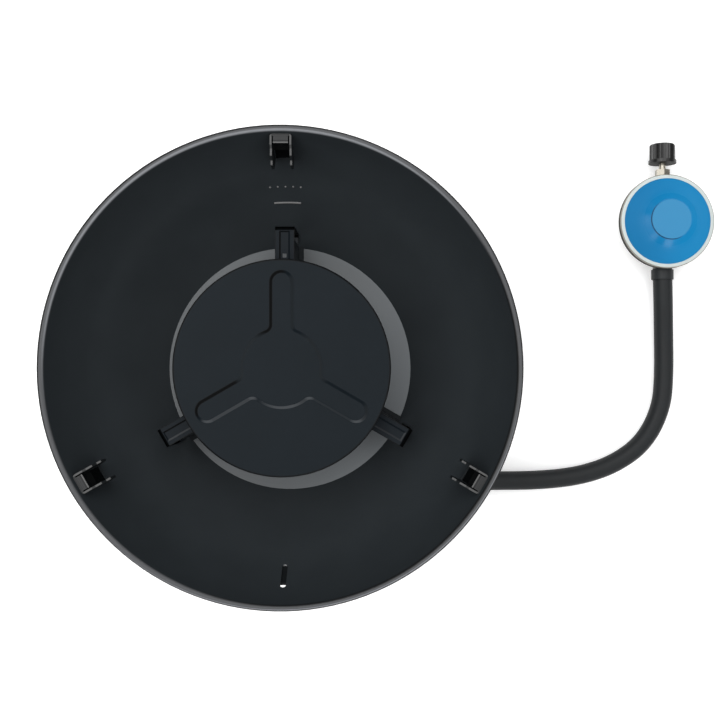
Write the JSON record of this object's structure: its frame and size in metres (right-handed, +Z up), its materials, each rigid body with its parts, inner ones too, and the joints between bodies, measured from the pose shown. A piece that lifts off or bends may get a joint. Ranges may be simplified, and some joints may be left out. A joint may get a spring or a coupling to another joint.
{
  "type": "camping gas grill",
  "caption": "Round camping gas grill: an enamelled bowl with a burner under a spreader disc on folding legs, with a gas hose and pressure regulator.",
  "frame": {"origin": "on the ground under the bowl's axis", "axes": "+Z up, -Y towards the tap's knob, +X towards the side where the hose lies"},
  "size_m": [0.4893, 0.3394, 0.15],
  "materials": {
    "bowl_enamel": "semi-gloss black enamel",
    "floor_plate": "grey aluminised steel",
    "black_sheet": "satin black paint on folded sheet",
    "disc_enamel": "matt black enamel",
    "plated_steel": "zinc plated",
    "burner_steel": "aluminised, heat dulled",
    "brass": "turned brass",
    "black_plastic": "fine moulded grain",
    "button_plastic": "glossy",
    "ceramic": "glazed white ceramic",
    "hose_rubber": "smooth matt hose cover",
    "foot_rubber": "moulded",
    "cuff_black": "black crimped sleeve",
    "diecast": "bead-blasted casting",
    "nickel": "bright nickel",
    "ring_metal": "rolled bright ring",
    "cap_blue": "satin blue"
  },
  "bodies": {
    "grill": {"bowl": "bowl_enamel", "bowl_floor": "floor_plate", "bracket_backing_plates": "black_sheet", "bracket_rivets": "plated_steel", "slot_cover": "black_sheet", "spreader_disc": "disc_enamel", "disc_posts": "plated_steel", "burner_cup": "burner_steel", "burner_crown": "burner_steel", "arm_rivets": "plated_steel", "mixing_tube": "burner_steel", "tube_locknut": "brass", "valve_body": "brass", "gas_jet": "brass", "control_panel": "black_sheet", "panel_rivets": "plated_steel", "valve_screws": "plated_steel", "piezo_body": "black_plastic", "piezo_nut": "black_plastic", "electrode_insulator": "ceramic", "electrode_pin": "plated_steel", "ignition_lead": "hose_rubber", "hose_barb": "brass", "hose_clip": "plated_steel", "gas_hose": "hose_rubber", "hose_cuff": "cuff_black", "regulator_body": "diecast", "regulator_ring": "ring_metal", "regulator_cap": "cap_blue", "regulator_diaphragm": "foot_rubber", "regulator_plate": "plated_steel", "regulator_spring": "plated_steel", "regulator_outlet": "brass", "inlet_stem": "nickel", "inlet_seal": "foot_rubber", "leg_bracket_rivets": "plated_steel", "plate_bracket_back": "black_sheet", "burner_arm_back": "black_sheet", "leg_bracket_back": "black_sheet", "leg_pin_back": "plated_steel", "plate_bracket_left": "black_sheet", "burner_arm_left": "black_sheet", "leg_bracket_left": "black_sheet", "leg_pin_left": "plated_steel", "plate_bracket_right": "black_sheet", "burner_arm_right": "black_sheet", "leg_bracket_right": "black_sheet", "leg_pin_right": "plated_steel"},
    "knob": {"control_knob": "black_plastic", "valve_stem": "plated_steel"},
    "button": {"piezo_button": "button_plastic"},
    "nut": {"inlet_nut": "black_plastic"},
    "back_leg": {"leg_back": "black_sheet", "leg_foot_back": "foot_rubber"},
    "left_leg": {"leg_left": "black_sheet", "leg_foot_left": "foot_rubber"},
    "right_leg": {"leg_right": "black_sheet", "leg_foot_right": "foot_rubber"}
  },
  "joints": [
    {"name": "knob_turn", "type": "hinge", "parent": "grill", "child": "knob", "pos_m": [0, -0.128, 0.03], "axis": [0, -1, 0], "range_deg": [0, 180]},
    {"name": "piezo_press", "type": "slide", "parent": "grill", "child": "button", "axis": [0, 1, 0], "range_m": [0, 0.006], "stiffness_N_per_m": 900, "springref_m": -0.002},
    {"name": "inlet_nut_spin", "type": "hinge", "parent": "grill", "child": "nut", "pos_m": [0.2908, 0.17, 0.013], "axis": [0, 1, 0], "continuous": true},
    {"name": "leg_back_fold", "type": "hinge", "parent": "grill", "child": "back_leg", "pos_m": [0, 0.096, 0.0545], "axis": [-1, 0, 0], "range_deg": [0, 125]},
    {"name": "leg_left_fold", "type": "hinge", "parent": "grill", "child": "left_leg", "pos_m": [-0.08314, -0.048, 0.0545], "axis": [0.5, -0.866, 0], "range_deg": [0, 125]},
    {"name": "leg_right_fold", "type": "hinge", "parent": "grill", "child": "right_leg", "pos_m": [0.08314, -0.048, 0.0545], "axis": [0.5, 0.866, 0], "range_deg": [0, 125]}
  ]
}
